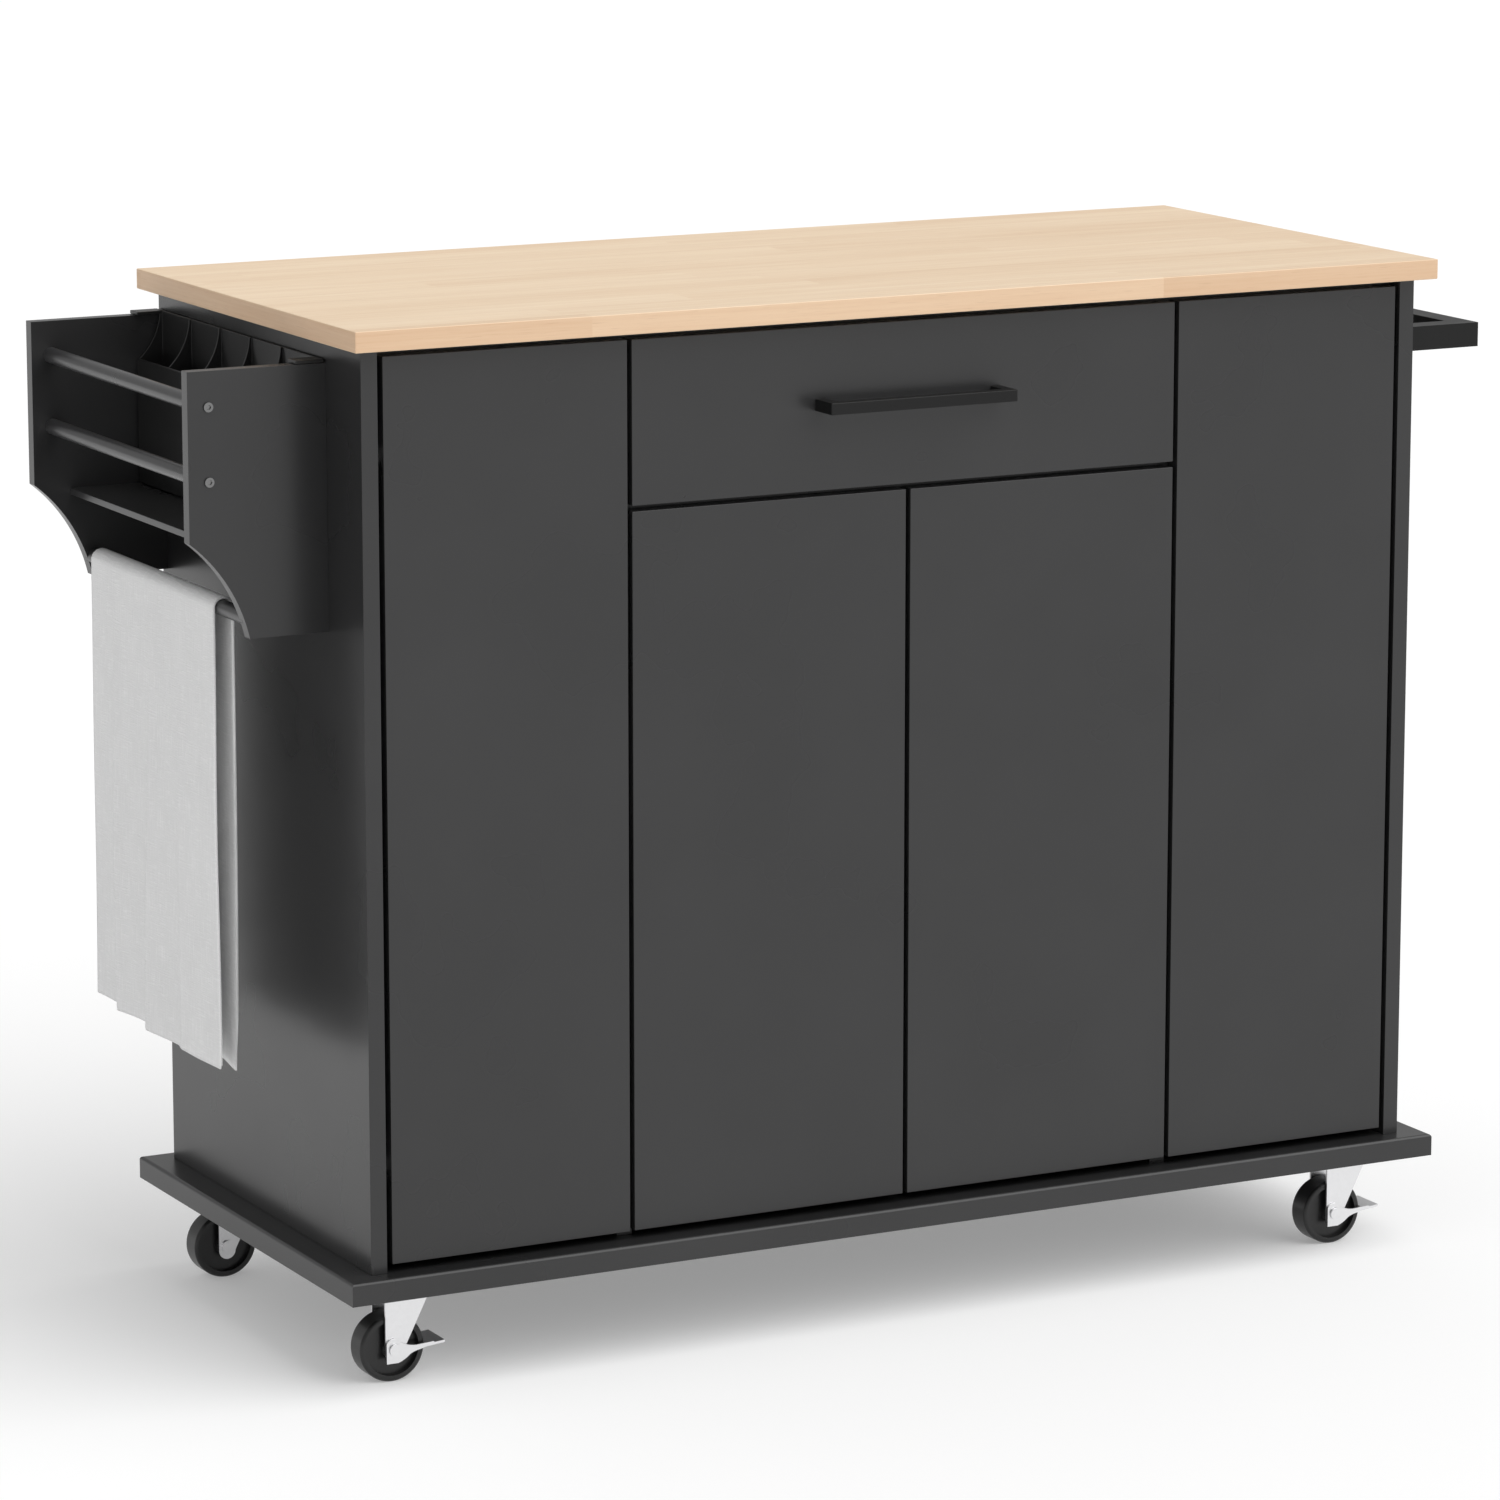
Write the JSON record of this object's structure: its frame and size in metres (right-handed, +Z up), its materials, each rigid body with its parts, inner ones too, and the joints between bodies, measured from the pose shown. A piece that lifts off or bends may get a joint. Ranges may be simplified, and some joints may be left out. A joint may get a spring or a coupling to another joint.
{
  "type": "butcher block table",
  "caption": "Rolling kitchen island with a butcher block worktop, painted cabinet doors, a drawer, a side rack with rails and towel bar, a push handle and casters.",
  "frame": {"origin": "on the floor, under the middle of the object's bounding box", "axes": "+Z up, +X along the length towards the push handle, -Y towards the front with the doors"},
  "size_m": [1.243, 0.489, 0.92],
  "materials": {
    "butcher_block": "oiled edge-glued staves, satin",
    "charcoal_board": "charcoal grey satin paint",
    "drawer_board": "charcoal grey laminate, matte",
    "charcoal_rod": "charcoal grey satin paint",
    "black_handle": "black powder coat, fine texture",
    "zinc_steel": "bright zinc plate",
    "latch_plastic": "light grey moulded plastic",
    "black_plastic": "black moulded plastic, fine texture",
    "wheel_plastic": "black moulded nylon, slight sheen",
    "towel_cotton": "light grey plain-weave cotton"
  },
  "bodies": {
    "cabinet": {"worktop": "butcher_block", "base_board": "charcoal_board", "left_side_panel": "charcoal_board", "right_side_panel": "charcoal_board", "left_partition": "charcoal_board", "right_partition": "charcoal_board", "back_panel": "charcoal_board", "front_stretcher": "charcoal_board", "rear_stretcher": "charcoal_board", "drawer_divider": "charcoal_board", "left_shelf": "charcoal_board", "centre_shelf": "charcoal_board", "right_shelf": "charcoal_board", "rack_front_panel": "charcoal_board", "rack_back_panel": "charcoal_board", "rack_shelf": "charcoal_board", "upper_rail": "charcoal_rod", "lower_rail": "charcoal_rod", "towel_bar": "charcoal_rod", "push_handle_bar": "black_handle", "push_handle_front_arm": "black_handle", "push_handle_rear_arm": "black_handle", "shelf_pins": "zinc_steel", "hinge_arms": "zinc_steel", "drawer_slide_rails": "zinc_steel", "rail_screws": "zinc_steel", "caster_plates": "zinc_steel", "caster_screws": "zinc_steel", "push_latches": "latch_plastic", "towel": "towel_cotton"},
    "drawer": {"drawer_front": "charcoal_board", "drawer_left_side": "drawer_board", "drawer_right_side": "drawer_board", "drawer_back": "drawer_board", "drawer_floor": "drawer_board", "drawer_pull": "black_handle", "drawer_slide_runners": "zinc_steel"},
    "left_door": {"left_door": "charcoal_board", "left_door_hinge_cups": "zinc_steel"},
    "centre_left_door": {"centre_left_door": "charcoal_board", "centre_left_door_hinge_cups": "zinc_steel"},
    "centre_right_door": {"centre_right_door": "charcoal_board", "centre_right_door_hinge_cups": "zinc_steel"},
    "right_door": {"right_door": "charcoal_board", "right_door_hinge_cups": "zinc_steel"},
    "left_door_latch": {"left_door_plunger": "latch_plastic"},
    "centre_left_door_latch": {"centre_left_door_plunger": "latch_plastic"},
    "centre_right_door_latch": {"centre_right_door_plunger": "latch_plastic"},
    "right_door_latch": {"right_door_plunger": "latch_plastic"},
    "bin": {"spice_bin": "black_plastic"},
    "front_left_swivel": {"front_left_fork": "zinc_steel"},
    "front_left_wheel": {"front_left_wheel": "wheel_plastic"},
    "front_left_brake": {"front_left_brake_lever": "zinc_steel"},
    "front_right_swivel": {"front_right_fork": "zinc_steel"},
    "front_right_wheel": {"front_right_wheel": "wheel_plastic"},
    "front_right_brake": {"front_right_brake_lever": "zinc_steel"},
    "rear_left_swivel": {"rear_left_fork": "zinc_steel"},
    "rear_left_wheel": {"rear_left_wheel": "wheel_plastic"},
    "rear_right_swivel": {"rear_right_fork": "zinc_steel"},
    "rear_right_wheel": {"rear_right_wheel": "wheel_plastic"}
  },
  "joints": [
    {"name": "drawer_slide", "type": "slide", "parent": "cabinet", "child": "drawer", "axis": [0, -1, 0], "range_m": [0, 0.3]},
    {"name": "left_door_hinge", "type": "hinge", "parent": "cabinet", "child": "left_door", "pos_m": [-0.4755, -0.2145, 0.1125], "axis": [0, 0, -1], "range_deg": [0, 95]},
    {"name": "centre_left_door_hinge", "type": "hinge", "parent": "cabinet", "child": "centre_left_door", "pos_m": [-0.244, -0.2145, 0.1125], "axis": [0, 0, -1], "range_deg": [0, 95]},
    {"name": "centre_right_door_hinge", "type": "hinge", "parent": "cabinet", "child": "centre_right_door", "pos_m": [0.293, -0.2145, 0.1125], "axis": [0, 0, 1], "range_deg": [0, 95]},
    {"name": "right_door_hinge", "type": "hinge", "parent": "cabinet", "child": "right_door", "pos_m": [0.5245, -0.2145, 0.1125], "axis": [0, 0, 1], "range_deg": [0, 95]},
    {"name": "left_door_latch_push", "type": "slide", "parent": "cabinet", "child": "left_door_latch", "axis": [0, 1, 0], "range_m": [0, 0.003], "stiffness_N_per_m": 300},
    {"name": "centre_left_door_latch_push", "type": "slide", "parent": "cabinet", "child": "centre_left_door_latch", "axis": [0, 1, 0], "range_m": [0, 0.003], "stiffness_N_per_m": 300},
    {"name": "centre_right_door_latch_push", "type": "slide", "parent": "cabinet", "child": "centre_right_door_latch", "axis": [0, 1, 0], "range_m": [0, 0.003], "stiffness_N_per_m": 300},
    {"name": "right_door_latch_push", "type": "slide", "parent": "cabinet", "child": "right_door_latch", "axis": [0, 1, 0], "range_m": [0, 0.003], "stiffness_N_per_m": 300},
    {"name": "bin_lift", "type": "slide", "parent": "cabinet", "child": "bin", "axis": [-0.7071, 0, 0.7071], "range_m": [0, 0.09]},
    {"name": "front_left_swivel", "type": "hinge", "parent": "cabinet", "child": "front_left_swivel", "pos_m": [-0.4535, -0.1785, 0.078], "axis": [0, 0, 1], "continuous": true},
    {"name": "front_left_roll", "type": "hinge", "parent": "front_left_swivel", "child": "front_left_wheel", "pos_m": [-0.4655, -0.1785, 0.03], "axis": [0, 1, 0], "continuous": true},
    {"name": "front_left_brake", "type": "hinge", "parent": "front_left_swivel", "child": "front_left_brake", "pos_m": [-0.4655, -0.1785, 0.03], "axis": [0, 1, 0], "range_deg": [0, 18]},
    {"name": "front_right_swivel", "type": "hinge", "parent": "cabinet", "child": "front_right_swivel", "pos_m": [0.5025, -0.1785, 0.078], "axis": [0, 0, 1], "continuous": true},
    {"name": "front_right_roll", "type": "hinge", "parent": "front_right_swivel", "child": "front_right_wheel", "pos_m": [0.4905, -0.1785, 0.03], "axis": [0, 1, 0], "continuous": true},
    {"name": "front_right_brake", "type": "hinge", "parent": "front_right_swivel", "child": "front_right_brake", "pos_m": [0.4905, -0.1785, 0.03], "axis": [0, 1, 0], "range_deg": [0, 18]},
    {"name": "rear_left_swivel", "type": "hinge", "parent": "cabinet", "child": "rear_left_swivel", "pos_m": [-0.4535, 0.1895, 0.078], "axis": [0, 0, 1], "continuous": true},
    {"name": "rear_left_roll", "type": "hinge", "parent": "rear_left_swivel", "child": "rear_left_wheel", "pos_m": [-0.4655, 0.1895, 0.03], "axis": [0, 1, 0], "continuous": true},
    {"name": "rear_right_swivel", "type": "hinge", "parent": "cabinet", "child": "rear_right_swivel", "pos_m": [0.5025, 0.1895, 0.078], "axis": [0, 0, 1], "continuous": true},
    {"name": "rear_right_roll", "type": "hinge", "parent": "rear_right_swivel", "child": "rear_right_wheel", "pos_m": [0.4905, 0.1895, 0.03], "axis": [0, 1, 0], "continuous": true}
  ]
}
